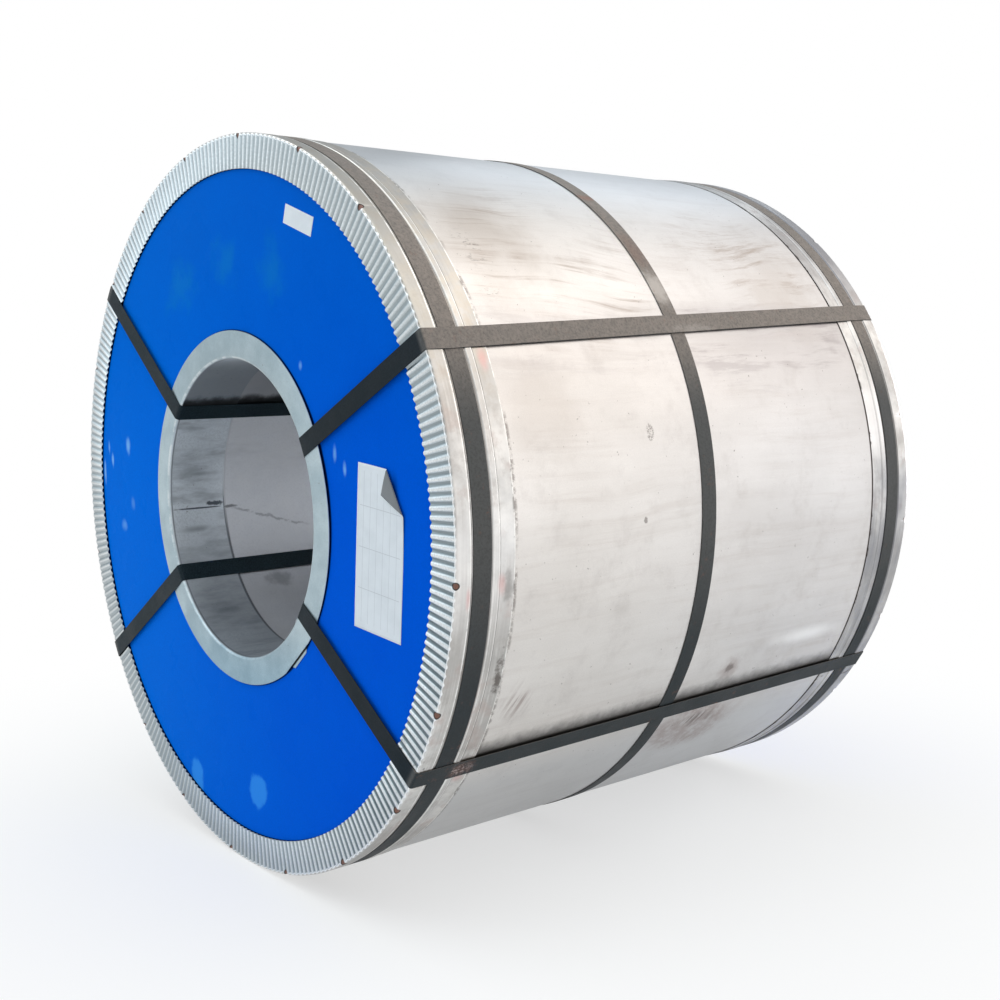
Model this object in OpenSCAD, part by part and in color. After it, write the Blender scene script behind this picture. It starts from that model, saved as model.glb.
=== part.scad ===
// Packed coil of steel strip, lying on its side: wound strip with its eye, sheet wrap, plastic end
// discs, fluted outer edge rings, plain inner edge rings, belt straps, eye straps and paper labels.
// Millimetres, +Z up. The coil's axis runs along Y and the labelled front end faces -Y.
// The origin is on the floor, under the middle of the coil.

/* [Coil] */
// Diameter of the eye through the wound strip
bore_d = 508; // [420:1:620]
// Outside diameter of the wound strip
coil_d = 1223; // [1000:1:1600]
// Width of the strip, which is the length of the coil
strip_w = 1030; // [700:1:1600]
// Spacing of the turn lines in the coil's ends
turn_pitch = 9; // [6:0.5:20]
// Depth of the turn lines
turn_depth = 0.8; // [0.4:0.1:1.5]

/* [Wrapping] */
// Thickness of the sheet wrapped round the coil
wrap_t = 0.7; // [0.4:0.1:1.5]
// Thickness of the end discs
disc_t = 2; // [1:0.5:4]
// How far the discs stay back from the coil's outer and inner edges
disc_edge = 2; // [1:0.5:6]

/* [Outer edge rings] */
// Thickness of the sheet that all edge rings are rolled from
ring_t = 0.8; // [0.5:0.1:1.2]
// Length of the skirt over the wrap, from the rim
outer_skirt = 105; // [92:1:160]
// Width of the fluted flange
outer_flange = 56; // [40:1:90]
// Rise of the rim land and of the step bead over the skirt
land_rise = 1.4; // [1.2:0.1:2.5]
// Length of the raised land between the rim and the strap channel
rim_land = 27; // [20:1:40]
// Length of the step bead behind the strap channel
bead_w = 9; // [6:0.5:12]
// Length of the slope at each step of the skirt
step_l = 2; // [1:0.5:4]
// Radius of the rim's bend
rim_r = 3.2; // [2:0.1:4]
// Spacing of the flutes at the flange's inner edge
flute_pitch = 12.55; // [10:0.05:18]
// Depth of the flutes at the flange's inner edge
flute_depth = 3; // [2:0.1:3.2]
// Depth of the flutes where they run out at the rim
flute_end_depth = 1.4; // [0.8:0.1:1.8]
// Thickness of the flange left at the flutes' crests
flute_crest_t = 1.4; // [1.2:0.1:2]
// Number of nail holes round the rim
rim_holes = 20; // [8:1:40]
// Diameter of the nail holes
rim_hole_d = 9; // [5:0.5:12]
// Angle of the first nail hole, from +X towards +Z
rim_hole_at = 12; // [0:1:17]

/* [Inner edge rings] */
// Length of the skirt inside the eye, from the rim
inner_skirt = 112; // [80:1:200]
// Width of the plain flange
inner_flange = 47; // [30:1:80]
// Play between the skirt and the wall of the eye
eye_play = 1.2; // [0.8:0.1:2]
// How far the flange's outer edge lies back from its rim
inner_dish = 2; // [0.5:0.1:2.5]
// Radius of the bend into the eye
inner_r = 6; // [3:0.5:10]

/* [Straps] */
// Width of the steel strap
strap_w = 32; // [19:1:40]
// Thickness of the steel strap
strap_t = 0.9; // [0.6:0.1:0.9]
// Spare width of the channel on each side of its belt strap
channel_play = 2; // [1:0.5:5]
// Place of the middle belt strap, from the coil's middle towards the front
middle_belt_at = 18; // [-150:1:150]
// Angle of the upper right eye strap, from +X towards +Z
upper_right_at = 26.3; // [10:0.1:60]
// Angle of the upper left eye strap
upper_left_at = 141.2; // [115:0.1:170]
// Angle of the lower left eye strap
lower_left_at = 212.1; // [190:0.1:245]
// Angle of the lower right eye strap
lower_right_at = 325.5; // [300:0.1:350]
// Turn of the upper right strap's far end about the coil's axis
upper_right_turn = 5.3; // [0:0.1:7]
// Turn of the lower right strap's far end about the coil's axis
lower_right_turn = 1.8; // [0:0.1:7]

/* [Labels] */
// Width of the coil label
label_w = 120; // [80:1:160]
// Height of the coil label
label_h = 247; // [150:1:280]
// Angle of the coil label's middle, from +X towards +Z
label_at = -4; // [-8:0.5:0]
// Lean of the coil label
label_lean = -5; // [-15:0.5:15]
// Length of the label's corner that is folded over
label_fold = 62; // [30:1:75]
// Width of the small tag
tag_w = 85; // [50:1:110]
// Height of the small tag
tag_h = 30; // [20:1:45]
// Distance of the small tag's middle from the fluted flange's inner edge
tag_in = 46; // [34:1:80]
// Angle of the small tag's middle, from +X towards +Z
tag_at = 63.4; // [55:0.1:75]
// Lean of the small tag
tag_lean = -19.5; // [-40:0.5:0]
// Thickness of the label paper
paper_t = 0.2; // [0.1:0.05:0.25]

/* [Fits] */
// Clearance between pieces that lie on each other
lay_gap = 0.3; // [0.1:0.1:0.5]
// Overlap of the strap's stretches where they join
join = 1; // [0.5:0.1:2]

/* [Hidden] */
$fn = 96;

// Radii, from the eye outwards
bore_r = bore_d / 2;
coil_r = coil_d / 2;
wrap_in = coil_r + lay_gap;
wrap_out = wrap_in + wrap_t;
skirt_in = wrap_out + lay_gap;
skirt_out = skirt_in + ring_t;
ring_out = skirt_out + land_rise;
flange_in = ring_out - outer_flange;
eye_wall_out = bore_r - eye_play;
eye_wall = eye_wall_out - ring_t;
inner_flange_out = eye_wall + inner_flange;
// The coil label lies halfway across the open part of the disc
label_at_r = (inner_flange_out + flange_in) / 2;
tag_at_r = flange_in - tag_in;

// Distances from the coil's middle plane, towards each end
disc_in = strip_w / 2 + lay_gap;
disc_face = disc_in + disc_t;
flange_t = flute_depth + flute_crest_t;
flange_back = disc_face + lay_gap;
rim = flange_back + flange_t;

// The skirt's steps, measured from the rim
channel_w = strap_w + 2 * channel_play;
channel_start = rim_land + step_l;
channel_end = channel_start + channel_w;
bead_start = channel_end + step_l;
bead_end = bead_start + bead_w;
belt_at = rim - channel_start - channel_w / 2;

// Flutes: round-bottomed grooves that run from the flange's inner edge to the rim
flute_count = round(2 * PI * flange_in / flute_pitch);
flute_half_w = 0.35 * flute_pitch;
flute_r = (flute_half_w * flute_half_w + flute_depth * flute_depth) / (2 * flute_depth);
flute_end = ring_out - rim_r;
flute_run = flute_end - flange_in;
flute_tilt = atan((flute_depth - flute_end_depth) / flute_run);
flute_lead = 3 * flute_depth;

// Eye straps: outside run, face run and eye run, with the bends between them
strap_face = rim + lay_gap;
strap_eye_r = eye_wall - lay_gap;
outer_bend_r = rim_r + lay_gap;
inner_bend_r = inner_r;
strap_out_r = ring_out + lay_gap;
bend_step = 15;
// A strap that turns about the axis leaves each rim square for a short way, and turns evenly between
turn_lead = 0.375 * strap_w;
turn_steps = 12;

axis_z = ring_out;

// Stands local +Z, the turning axis, along -Y at the height of the coil's axis
module lie() {
    translate([0, 0, axis_z]) rotate([90, 0, 0]) children();
}

// The front end's pieces stay as they are, and the back end's are their mirror image
module at_end(back) {
    lie() mirror([0, 0, back ? 1 : 0]) children();
}

// Wound strip, with the turn lines as shallow V grooves in both ends
module steel_coil() {
    half = strip_w / 2;
    turns = floor((coil_r - bore_r) / turn_pitch) - 1;
    line = [for (i = [1 : turns]) for (s = [-1, 0, 1])
        [bore_r + i * turn_pitch + s * turn_depth, half - (s == 0 ? turn_depth : 0)]];
    count = len(line);
    other = [for (i = [count - 1 : -1 : 0]) [line[i][0], -line[i][1]]];
    color("slategray") lie() rotate_extrude()
        polygon(concat([[bore_r, half]], line, [[coil_r, half], [coil_r, -half]], other, [[bore_r, -half]]));
}

module tube(r_in, r_out, from, to) {
    translate([0, 0, from]) rotate_extrude() translate([r_in, 0]) square([r_out - r_in, to - from]);
}

module outer_wrap_sheet() {
    color("silver") lie() tube(wrap_in, wrap_out, -strip_w / 2, strip_w / 2);
}

module end_disc(back) {
    color("royalblue") at_end(back) tube(bore_r + disc_edge, coil_r - disc_edge, disc_in, disc_face);
}

// Section of the outer ring: flange slab, rim bend, raised land, strap channel, step bead and skirt edge
module outer_ring_section() {
    steps = [
        [ring_out, rim_land], [skirt_out, channel_start],
        [skirt_out, channel_end], [ring_out, bead_start],
        [ring_out, bead_end], [skirt_out, bead_end + step_l],
        [skirt_out, outer_skirt]
    ];
    outside = [for (p = steps) [p[0], rim - p[1]]];
    inside = [for (i = [len(steps) - 1 : -1 : 0]) [steps[i][0] - ring_t, rim - steps[i][1]]];
    bend = [for (a = [90 : -bend_step : 0]) [ring_out - rim_r + rim_r * cos(a), rim - rim_r + rim_r * sin(a)]];
    polygon(concat(
        [[flange_in, flange_back], [flange_in, rim]], bend, outside, inside,
        [[ring_out - ring_t, flange_back]]
    ));
}

// Groove of one flute, along +X, with its floor rising towards the rim
module flute_groove() {
    translate([flange_in, 0, rim - flute_depth]) rotate([0, -flute_tilt, 0])
        translate([-flute_lead, 0, flute_r]) rotate([0, 90, 0]) cylinder(r = flute_r, h = flute_lead + flute_run);
}

module outer_edge_ring(back) {
    step = 360 / flute_count;
    color("lightgray") at_end(back) difference() {
        rotate_extrude() outer_ring_section();
        for (i = [0 : flute_count - 1]) rotate([0, 0, i * step]) flute_groove();
        for (i = [0 : rim_holes - 1]) rotate([0, 0, rim_hole_at + i * 360 / rim_holes])
            translate([ring_out - rim_r, 0, rim - rim_r]) rotate([0, 45, 0])
                cylinder(d = rim_hole_d, h = 2 * rim_hole_d, center = true);
    }
}

module inner_edge_ring(back) {
    bend_c = [eye_wall + inner_r, rim - inner_r];
    outside = [for (a = [90 : bend_step : 180]) bend_c + inner_r * [cos(a), sin(a)]];
    inside = [for (a = [180 : -bend_step : 90]) bend_c + (inner_r - ring_t) * [cos(a), sin(a)]];
    color("gainsboro") at_end(back) rotate_extrude() polygon(concat(
        [[inner_flange_out, rim - inner_dish]], outside, [[eye_wall, rim - inner_skirt]],
        [[eye_wall_out, rim - inner_skirt]], inside, [[inner_flange_out, rim - inner_dish - ring_t]]
    ));
}

module belt_strap(r_in, at) {
    color("dimgray") lie() tube(r_in, r_in + strap_t, at - strap_w / 2, at + strap_w / 2);
}

// Quarter bend of strap from +X to +Z round an axis along Y
module strap_bend(r_in) {
    rotate([90, 0, 0]) translate([0, 0, -strap_w / 2])
        rotate_extrude(angle = 90) translate([r_in, 0]) square([strap_t, strap_w]);
}

// Strap's corner over the rim, at angle 0
module outer_corner() {
    translate([strap_out_r - outer_bend_r, 0, strap_face - outer_bend_r]) strap_bend(outer_bend_r);
}

// Strip along the outside, from the front rim at angle 0 to the back rim at angle turn
module outside_run(turn) {
    half = strap_face - outer_bend_r;
    even = half - turn_lead;
    stations = concat(
        [[half, 0]],
        [for (i = [0 : turn_steps]) [even * (1 - 2 * i / turn_steps), turn * i / turn_steps]],
        [[-half, turn]]
    );
    corners = [[0, -1], [1, -1], [1, 1], [0, 1]];
    points = [for (p = stations) for (c = corners)
        let (r = strap_out_r + c[0] * strap_t, side = c[1] * strap_w / 2)
        [r * cos(p[1]) - side * sin(p[1]), r * sin(p[1]) + side * cos(p[1]), p[0]]];
    last = 4 * (len(stations) - 1);
    sides = [for (i = [0 : len(stations) - 2]) for (k = [0 : 3])
        let (a = 4 * i + k, b = 4 * i + (k + 1) % 4)
        each [[a, b, b + 4], [a, b + 4, a + 4]]];
    polyhedron(points, concat([[3, 2, 1, 0]], sides, [[last, last + 1, last + 2, last + 3]]));
}

// Section of the strap through the eye, with its bends out to both end faces
module eye_section() {
    centre = [strap_eye_r + inner_bend_r, strap_face - inner_bend_r];
    inside = [for (a = [180 : -bend_step : 90]) centre + (inner_bend_r + strap_t) * [cos(a), sin(a)]];
    outside = [for (a = [90 : bend_step : 180]) centre + inner_bend_r * [cos(a), sin(a)]];
    half = concat(inside, outside);
    polygon(concat(half, [for (i = [len(half) - 1 : -1 : 0]) [half[i][0], -half[i][1]]]));
}

// Straight run down the end face, from the rim at angle out_a to the eye at angle 0
module face_run(out_a) {
    outer = (strap_out_r - outer_bend_r + join) * [cos(out_a), sin(out_a)];
    inner = [strap_eye_r + inner_bend_r - join, 0];
    way = outer - inner;
    translate([inner[0], inner[1], strap_face]) rotate([0, 0, atan2(way[1], way[0])])
        translate([0, -strap_w / 2, 0]) cube([norm(way), strap_w, strap_t]);
}

// Closed loop of strap along the outside, down both ends and through the eye
module eye_strap(angle, turn = 0) {
    eye_width = strap_w / strap_eye_r * 180 / PI;
    color("dimgray") lie() rotate([0, 0, angle]) union() {
        outside_run(turn);
        outer_corner();
        face_run(0);
        rotate([0, 0, -eye_width / 2]) rotate_extrude(angle = eye_width) eye_section();
        mirror([0, 0, 1]) {
            face_run(turn);
            rotate([0, 0, turn]) outer_corner();
        }
    }
}

// Paper label with its upper outer corner folded over onto the sheet
module coil_label() {
    right = label_w / 2;
    top = label_h / 2;
    fold_top = [right - label_fold, top];
    fold_side = [right, top - label_fold];
    color("white") lie() rotate([0, 0, label_at]) translate([label_at_r, 0, disc_face])
        rotate([0, 0, label_lean - label_at]) {
            linear_extrude(paper_t) polygon([[-right, -top], [right, -top], fold_side, fold_top, [-right, top]]);
            linear_extrude(2 * paper_t) polygon([fold_top, fold_side, [right - label_fold, top - label_fold]]);
        }
}

module tag_label() {
    color("white") lie() rotate([0, 0, tag_at]) translate([tag_at_r, 0, disc_face])
        rotate([0, 0, tag_lean - tag_at]) translate([-tag_w / 2, -tag_h / 2, 0]) cube([tag_w, tag_h, paper_t]);
}

steel_coil();
outer_wrap_sheet();
end_disc(false);  // end_disc_front
end_disc(true);  // end_disc_back
outer_edge_ring(false);  // outer_edge_ring_front
outer_edge_ring(true);  // outer_edge_ring_back
inner_edge_ring(false);  // inner_edge_ring_front
inner_edge_ring(true);  // inner_edge_ring_back
belt_strap(skirt_out + lay_gap, belt_at);  // belt_strap_front
belt_strap(wrap_out + lay_gap, middle_belt_at);  // belt_strap_middle
belt_strap(skirt_out + lay_gap, -belt_at);  // belt_strap_back
eye_strap(upper_right_at, upper_right_turn);  // eye_strap_upper_right
eye_strap(upper_left_at);  // eye_strap_upper_left
eye_strap(lower_left_at);  // eye_strap_lower_left
eye_strap(lower_right_at, lower_right_turn);  // eye_strap_lower_right
coil_label();
tag_label();
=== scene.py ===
"""Packed steel coil: the dressed pieces, the studio and the camera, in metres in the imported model's frame."""
import math
from functools import cached_property, partial, reduce

import bmesh
import bpy
from mathutils import Matrix, Vector, noise


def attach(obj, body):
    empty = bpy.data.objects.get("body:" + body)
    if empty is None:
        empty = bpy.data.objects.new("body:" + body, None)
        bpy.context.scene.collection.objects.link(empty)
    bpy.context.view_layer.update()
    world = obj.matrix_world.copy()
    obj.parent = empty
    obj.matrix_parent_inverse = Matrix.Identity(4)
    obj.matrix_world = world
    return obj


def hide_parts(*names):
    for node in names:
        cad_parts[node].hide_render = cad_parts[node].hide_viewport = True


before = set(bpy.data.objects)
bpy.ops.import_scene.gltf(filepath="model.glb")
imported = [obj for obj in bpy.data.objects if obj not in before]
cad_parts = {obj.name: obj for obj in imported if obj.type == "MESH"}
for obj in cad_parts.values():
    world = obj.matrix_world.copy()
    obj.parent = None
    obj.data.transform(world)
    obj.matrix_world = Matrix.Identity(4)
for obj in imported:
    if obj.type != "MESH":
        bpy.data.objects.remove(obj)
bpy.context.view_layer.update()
scene = bpy.context.scene

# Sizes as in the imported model, in millimetres. Radii are from the coil's axis, "out" distances from its middle.
MM = 0.001
AXIS_Z = 615.0
BORE_R = 254.0
COIL_R = 611.5
HALF_STRIP = 515.0
TURN_PITCH = 9.0
TURN_DEPTH = 0.8
WRAP_IN = 611.8
WRAP_OUT = 612.5
SKIRT_IN = 612.8
SKIRT_OUT = 613.6
RING_OUT = 614.98
FLANGE_IN = 559.0
RING_T = 0.8
RIM_OUT = 522.0
RIM_R = 3.2
# The outer ring's skirt from the rim on: raised land, strap channel, step bead, free edge
LAND_END = 495.0
CHANNEL_START = 493.0
CHANNEL_END = 457.0
BEAD_START = 455.0
BEAD_END = 446.0
BEAD_FOOT = 444.0
SKIRT_END = 417.0
DISC_OUT = 517.3
EYE_R = 252.0
INNER_FLANGE_R = 299.0
INNER_BEND = 6.0
INNER_SKIRT_END = 410.0
STRAP_W = 32.0
STRAP_T = 0.88
STRAP_EDGE = 0.28
LAY_GAP = 0.3
FLUTES = 280
FLUTE_STEPS = 8
FLUTE_DEPTH = 3.0
FLUTE_END_DEPTH = 1.4
NAIL_HOLES = 20
FIRST_NAIL = math.radians(12.7)
NAIL_CUP = 6.0
NAIL_DEPTH = 0.9
# Nail places that the front ring leaves shut
SHUT_NAILS = (0, 1)
# Middle and half width of the straight cut across the front inner ring's lap
CUT_AT = math.radians(-49.7)
CUT_HALF = math.radians(9.4)
AXIS = Vector((0, 0, AXIS_Z * MM))


def angle_of(point):
    """Angle about the coil's axis, from +X towards +Z."""
    return math.atan2(point.z - AXIS.z, point.x)


def radius_of(point):
    """Distance from the coil's axis, in millimetres."""
    return math.hypot(point.x, point.z - AXIS.z) / MM


def ray(angle):
    """Direction square to the coil's axis at that angle."""
    return Vector((math.cos(angle), 0, math.sin(angle)))


def place(radius, angle, out):
    """Point at that radius and angle, that far from the coil's middle towards the front, from millimetres."""
    return Vector((radius * math.cos(angle), -out, AXIS_Z + radius * math.sin(angle))) * MM


def set_radius(vert, radius):
    """Moves a vertex square to the axis, to that radius in millimetres."""
    angle = angle_of(vert.co)
    vert.co.x = radius * MM * math.cos(angle)
    vert.co.z = AXIS.z + radius * MM * math.sin(angle)


def arc(corner, radius, angles):
    """Section points on a bend about its corner, at angles in degrees."""
    turns = [math.radians(angle) for angle in angles]
    return [(corner[0] + radius * math.cos(turn), corner[1] + radius * math.sin(turn)) for turn in turns]


def turned(section, steps, end=1, parts=8):
    """Spins a closed section of (radius, out) points round the axis, in equal parts.

    end is 1 for the front and -1 for the back.
    """
    bm = bmesh.new()
    loop = [bm.verts.new(place(radius, 0, end * out)) for radius, out in section]
    edges = [bm.edges.new((loop[i - 1], loop[i])) for i in range(len(loop))]
    bmesh.ops.spin(
        bm, geom=loop + edges, cent=AXIS, axis=(0, -1, 0), dvec=(0, 0, 0),
        angle=2 * math.pi / parts, steps=steps // parts, use_merge=False)
    first = bm.verts[:] + bm.edges[:] + bm.faces[:]
    for part in range(1, parts):
        copied = bmesh.ops.duplicate(bm, geom=first)["geom"]
        fresh = [item for item in copied if isinstance(item, bmesh.types.BMVert)]
        bmesh.ops.rotate(
            bm, cent=AXIS, matrix=Matrix.Rotation(-2 * math.pi * part / parts, 3, "Y"), verts=fresh)
    bmesh.ops.remove_doubles(bm, verts=bm.verts, dist=0.00003)
    bmesh.ops.recalc_face_normals(bm, faces=bm.faces)
    return bm


def swept(stations, half_w, thickness):
    """Extrudes a strap's bevelled section through a closed run of stations: width on X, thickness on Y."""
    edge = STRAP_EDGE
    inside = half_w - edge
    section = [
        (-half_w, edge), (-inside, 0), (0, 0), (inside, 0), (half_w, edge),
        (half_w, thickness - edge), (inside, thickness), (0, thickness), (-inside, thickness),
        (-half_w, thickness - edge)]
    bm = bmesh.new()
    loop = [bm.verts.new(stations[0] @ Vector((x * MM, y * MM, 0))) for x, y in section]
    edges = [bm.edges.new((loop[i - 1], loop[i])) for i in range(len(loop))]
    for before, after in zip(stations, stations[1:] + stations[:1]):
        grown = bmesh.ops.extrude_edge_only(bm, edges=edges)["geom"]
        edges = [part for part in grown if isinstance(part, bmesh.types.BMEdge)]
        fresh = [part for part in grown if isinstance(part, bmesh.types.BMVert)]
        bmesh.ops.transform(bm, matrix=after @ before.inverted(), verts=fresh)
    bmesh.ops.remove_doubles(bm, verts=bm.verts, dist=0.00005)
    bmesh.ops.recalc_face_normals(bm, faces=bm.faces)
    return bm


def dressed(name, bm, node, slot, *materials, sharp=40):
    """Finishes a piece: smooth faces with sharp folds, its materials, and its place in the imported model."""
    mesh = bpy.data.meshes.new(name)
    bm.to_mesh(mesh)
    bm.free()
    mesh.shade_smooth()
    mesh.set_sharp_from_angle(angle=math.radians(sharp))
    for material in materials:
        mesh.materials.append(material)
    piece = bpy.data.objects.new(name, mesh)
    scene.collection.objects.link(piece)
    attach(piece, "root")
    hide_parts(node)
    return piece


# Shader building

class Nodes:
    """Short calls for adding and linking nodes of one tree."""

    def __init__(self, tree):
        self.tree = tree

    def add(self, kind, values=None, **settings):
        node = self.tree.nodes.new(kind)
        for key, value in settings.items():
            setattr(node, key, value)
        for key, value in (values or {}).items():
            self.feed(node.inputs[key], value)
        return node

    def feed(self, socket, value):
        if isinstance(value, bpy.types.NodeSocket):
            self.tree.links.new(value, socket)
        elif socket.type == "RGBA":
            socket.default_value = (*value, 1.0)
        else:
            socket.default_value = value

    def math(self, operation, a, b=0.0, clamp=False):
        return self.add("ShaderNodeMath", {0: a, 1: b}, operation=operation, use_clamp=clamp).outputs[0]

    def plus(self, a, b):
        return self.math("ADD", a, b)

    def less(self, a, b):
        return self.math("SUBTRACT", a, b)

    def vector(self, operation, a, b=(0, 0, 0), output=0):
        return self.add("ShaderNodeVectorMath", {0: a, 1: b}, operation=operation).outputs[output]

    def mix(self, factor, a, b, blend="MIX"):
        return self.add("ShaderNodeMix", {0: factor, 6: a, 7: b}, data_type="RGBA", blend_type=blend).outputs[2]

    def blend(self, factor, a, b):
        return self.add("ShaderNodeMix", {0: factor, 2: a, 3: b}, data_type="FLOAT").outputs[0]

    def span(self, value, low, high, to_low=0.0, to_high=1.0, smooth=True):
        return self.add(
            "ShaderNodeMapRange", {0: value, 1: low, 2: high, 3: to_low, 4: to_high},
            interpolation_type="SMOOTHSTEP" if smooth else "LINEAR").outputs[0]

    def fall(self, value, low, high):
        return self.span(value, low, high, 1.0, 0.0)

    def times(self, *values):
        return reduce(partial(self.math, "MULTIPLY"), values)

    def most(self, *masks):
        return reduce(partial(self.math, "MAXIMUM"), masks)

    def noise(self, vector, scale, detail, rough):
        return self.add(
            "ShaderNodeTexNoise",
            {"Vector": vector, "Scale": scale, "Detail": detail, "Roughness": rough}).outputs["Fac"]

    def stretch(self, vector, scale):
        return self.add("ShaderNodeMapping", {"Vector": vector, "Scale": scale}).outputs[0]

    def here(self):
        return self.add("ShaderNodeTexCoord").outputs["Object"]


def new_group(name, inputs, outputs):
    """Empty shader node group with a Vector input and other named sockets."""
    tree = bpy.data.node_groups.new(name, "ShaderNodeTree")
    for socket, kind, value in [("Vector", "Vector", (0, 0, 0)), *inputs]:
        made = tree.interface.new_socket(socket, in_out="INPUT", socket_type="NodeSocket" + kind)
        made.default_value = value
    for socket, kind in outputs:
        tree.interface.new_socket(socket, in_out="OUTPUT", socket_type="NodeSocket" + kind)
    build = Nodes(tree)
    return build, build.add("NodeGroupInput").outputs, build.add("NodeGroupOutput").inputs


def make_mark_group():
    """Ragged spot about a point: its strength in the middle, 0 outside its half sizes."""
    build, given, out = new_group(
        "Mark", [
            ("Centre", "Vector", (0, 0, 0)), ("Half size", "Vector", (1, 1, 1)), ("Strength", "Float", 1.0),
            ("Grain", "Float", 30.0), ("Rag", "Float", 0.5), ("Softness", "Float", 0.9)],
        [("Mask", "Float")])
    away = build.vector("SUBTRACT", given["Vector"], given["Centre"])
    scaled = build.vector("DIVIDE", away, given["Half size"])
    reach = build.vector("LENGTH", scaled, output="Value")
    rough = build.less(build.noise(given["Vector"], given["Grain"], 5.0, 0.6), 0.5)
    reach = build.plus(reach, build.times(rough, build.times(given["Rag"], 2.0)))
    start = build.less(1.0, given["Softness"])
    build.feed(out["Mask"], build.times(build.fall(reach, start, 1.0), given["Strength"]))
    return build.tree


def make_speckle_group():
    """Small scattered specks with uneven density."""
    build, given, out = new_group(
        "Speckle", [("Scale", "Float", 120.0), ("Amount", "Float", 0.3)], [("Mask", "Float")])
    fine = build.noise(given["Vector"], given["Scale"], 2.0, 0.5)
    broad = build.noise(given["Vector"], build.times(given["Scale"], 0.06), 3.0, 0.5)
    level = build.less(0.8, build.times(given["Amount"], broad))
    build.feed(out["Mask"], build.span(build.less(fine, level), 0.0, 0.05))
    return build.tree


def make_brushed_group():
    """Fine streaks along one direction, for rolled sheet: a height and a mask."""
    build, given, out = new_group(
        "Brushed", [("Stretch", "Vector", (4, 400, 4)), ("Patches", "Float", 5.0)],
        [("Height", "Float"), ("Mask", "Float")])
    lines = build.noise(build.stretch(given["Vector"], given["Stretch"]), 1.0, 3.0, 0.6)
    patches = build.noise(given["Vector"], given["Patches"], 3.0, 0.55)
    build.feed(out["Height"], lines)
    build.feed(out["Mask"], build.math("MULTIPLY", lines, build.span(patches, 0.35, 0.65), clamp=True))
    return build.tree


def make_scratch_group():
    """Thin broken scratches, along cell borders of a stretched pattern."""
    build, given, out = new_group(
        "Scratches", [("Stretch", "Vector", (8, 8, 8)), ("Width", "Float", 0.01), ("Amount", "Float", 0.5)],
        [("Mask", "Float")])
    bent = build.add(
        "ShaderNodeTexNoise", {"Vector": given["Vector"], "Scale": 7.0, "Detail": 2.0}).outputs["Color"]
    bent = build.vector("MULTIPLY", bent, (0.08, 0.08, 0.08))
    moved = build.vector("ADD", given["Vector"], bent)
    cells = build.add(
        "ShaderNodeTexVoronoi", {"Vector": build.stretch(moved, given["Stretch"]), "Scale": 1.0},
        feature="DISTANCE_TO_EDGE").outputs["Distance"]
    line = build.fall(cells, 0.0, given["Width"])
    broken = build.noise(given["Vector"], 13.0, 3.0, 0.6)
    keep = build.span(build.plus(broken, given["Amount"]), 0.98, 1.1)
    build.feed(out["Mask"], build.times(line, keep))
    return build.tree


MARK = make_mark_group()
SPECKLE = make_speckle_group()
BRUSHED = make_brushed_group()
SCRATCHES = make_scratch_group()


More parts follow.
